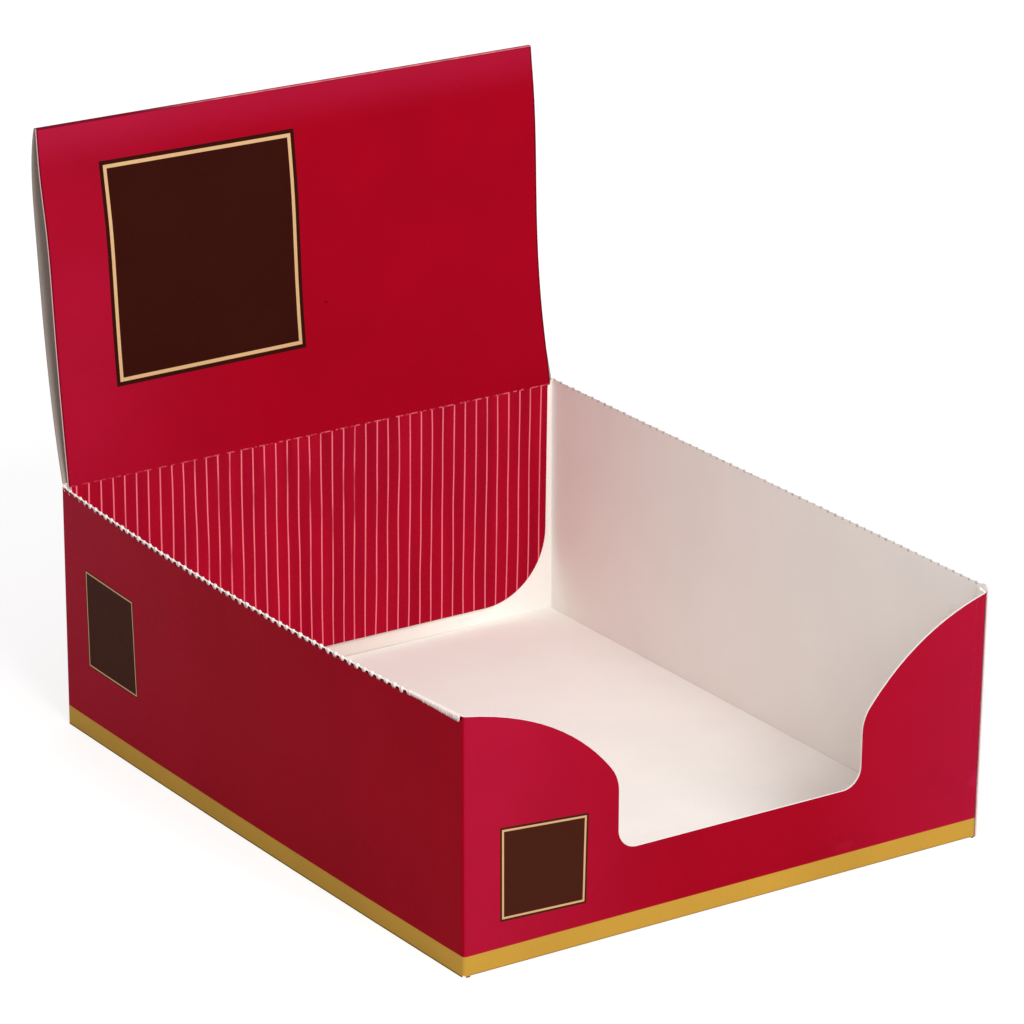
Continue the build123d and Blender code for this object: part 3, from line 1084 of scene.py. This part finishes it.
class BOX_OT_creases(bpy.types.Operator):
    """Adds the bent board in the two creases that the header turns on"""

    bl_idname = "display_box.creases"
    bl_label = "Add creases"

    def execute(self, context):
        scene = context.scene
        material = crease_finish(scene.box_print, scene.box_board)
        wall = HALF_DEPTH
        inside = wall - BOARD
        low = WALL_HEIGHT - 0.3
        high = WALL_HEIGHT + 0.5
        profile = [
            (inside + 0.05, low),
            (wall - 0.04, low),
            (wall - 0.03, WALL_HEIGHT),
            (wall - 0.01, WALL_HEIGHT + 0.2),
            (wall + 0.04, high),
            (inside + 0.11, high),
            (inside - 0.04, WALL_HEIGHT + 0.3),
            (inside - 0.04, WALL_HEIGHT),
        ]
        rear = crease_strip("rear_crease_strip", profile, BACK_EDGE - 0.6, 0.0, material)
        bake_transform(rear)
        half_gap = FOLD_GAP / 2
        top = FOLD_Z - half_gap - 0.02
        profile = [
            (FOLD_Y - half_gap - 0.25, top - 0.08),
            (FOLD_Y - half_gap, top - 0.01),
            (FOLD_Y, top),
            (FOLD_Y + half_gap, top - 0.03),
            (FOLD_Y + half_gap + 0.25, top - 0.1),
            (FOLD_Y + half_gap + 0.25, top - 0.5),
            (FOLD_Y, top - 0.55),
            (FOLD_Y - half_gap - 0.25, top - 0.5),
        ]
        half_length = FRONT_EDGE - 0.5
        over = crease_strip("top_fold_strip", profile, half_length, FOLD_RISE, material)
        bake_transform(over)
        return {"FINISHED"}


def backdrop_material():
    """The floor: pale for the light, and white to the camera with the box's shadow kept."""
    material = bpy.data.materials.new("studio floor")
    tree = emptied(material)
    seen = tree.add("ShaderNodeLightPath").outputs["Is Camera Ray"]
    plain = tree.add("ShaderNodeBsdfDiffuse", {"Color": FLOOR_COLOUR})
    shadow = tree.add("ShaderNodeBsdfDiffuse", {"Color": FLOOR_SHADOW})
    lift = tree.add("ShaderNodeEmission", {"Color": WHITE, "Strength": FLOOR_LIFT})
    white = tree.add("ShaderNodeAddShader", {0: shadow.outputs[0], 1: lift.outputs[0]})
    mixed = tree.add("ShaderNodeMixShader", {0: seen, 1: plain.outputs[0], 2: white.outputs[0]})
    output = tree.add("ShaderNodeOutputMaterial")
    tree.feed(output.inputs["Surface"], mixed.outputs[0])
    return material


def studio_world(ambient):
    """Even light from all round, and white where the camera looks past the floor."""
    world = bpy.data.worlds.new("studio")
    tree = emptied(world)
    seen = tree.add("ShaderNodeLightPath").outputs["Is Camera Ray"]
    strength = tree.blend(seen, ambient, 1.0)
    light = tree.add("ShaderNodeBackground", {"Color": WHITE, "Strength": strength})
    output = tree.add("ShaderNodeOutputWorld")
    tree.feed(output.inputs["Surface"], light.outputs[0])
    return world


def key_lamp(power):
    """The large soft lamp in front of the box, which faces it."""
    lamp = bpy.data.lights.new("key lamp", "AREA")
    lamp.shape = "SQUARE"
    lamp.size = LAMP_SIZE
    lamp.energy = power
    lamp.color = LAMP_COLOUR
    obj = bpy.data.objects.new("key lamp", lamp)
    obj.location = LAMP_PLACE
    aim = Vector(LAMP_TARGET) - Vector(LAMP_PLACE)
    obj.rotation_euler = aim.to_track_quat("-Z", "Y").to_euler()
    bpy.context.scene.collection.objects.link(obj)


class BOX_OT_studio(bpy.types.Operator):
    """Sets up the floor, the lights and the camera"""

    bl_idname = "display_box.studio"
    bl_label = "Set up studio"

    def execute(self, context):
        scene = context.scene
        studio = scene.box_studio
        mesh = bmesh.new()
        bmesh.ops.create_grid(mesh, x_segments=8, y_segments=8, size=studio.floor_size / 2)
        bmesh.ops.translate(mesh, verts=mesh.verts, vec=(0, 0, -0.05 * MM))
        floor = new_piece("studio_floor", mesh, backdrop_material())
        scene.world = studio_world(studio.ambient)
        key_lamp(studio.key_power)
        camera = bpy.data.objects.new("photo camera", bpy.data.cameras.new("photo camera"))
        camera.data.sensor_width = SENSOR
        camera.data.lens = CAMERA_LENS
        camera.location = [part * MM for part in CAMERA_PLACE]
        camera.rotation_euler = (math.radians(90 - CAMERA_TILT), 0, math.radians(CAMERA_TURN))
        scene.collection.objects.link(camera)
        scene.camera = camera
        scene.view_settings.view_transform = "Standard"
        return {"FINISHED"}


class BOX_PT_panel(bpy.types.Panel):
    """Lists the steps that finish the display box"""

    bl_idname = "BOX_PT_panel"
    bl_label = "Display box"
    bl_space_type = "VIEW_3D"
    bl_region_type = "UI"
    bl_category = "Display Box"

    def draw(self, context):
        for step in STEPS:
            self.layout.operator(step.bl_idname)
        for group in (context.scene.box_print, context.scene.box_board, context.scene.box_studio):
            column = self.layout.column(align=True)
            for name in group.bl_rna.properties.keys():
                if name not in ("rna_type", "name"):
                    column.prop(group, name)


STEPS = (BOX_OT_tray, BOX_OT_header, BOX_OT_torn_rims, BOX_OT_creases, BOX_OT_studio)
SETTINGS = {"box_print": PrintSettings, "box_board": BoardSettings, "box_studio": StudioSettings}


def register():
    """Adds the settings, the operators and the panel."""
    for kind in (*SETTINGS.values(), *STEPS, BOX_PT_panel):
        bpy.utils.register_class(kind)
    for name, kind in SETTINGS.items():
        setattr(bpy.types.Scene, name, bpy.props.PointerProperty(type=kind))


def unregister():
    """Takes away what register added."""
    for name in SETTINGS:
        delattr(bpy.types.Scene, name)
    for kind in reversed((*SETTINGS.values(), *STEPS, BOX_PT_panel)):
        bpy.utils.unregister_class(kind)


def main():
    """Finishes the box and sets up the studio."""
    register()
    bpy.ops.display_box.tray()
    bpy.ops.display_box.header()
    bpy.ops.display_box.torn_rims()
    bpy.ops.display_box.creases()
    bpy.ops.display_box.studio()


if __name__ == "__main__":
    main()
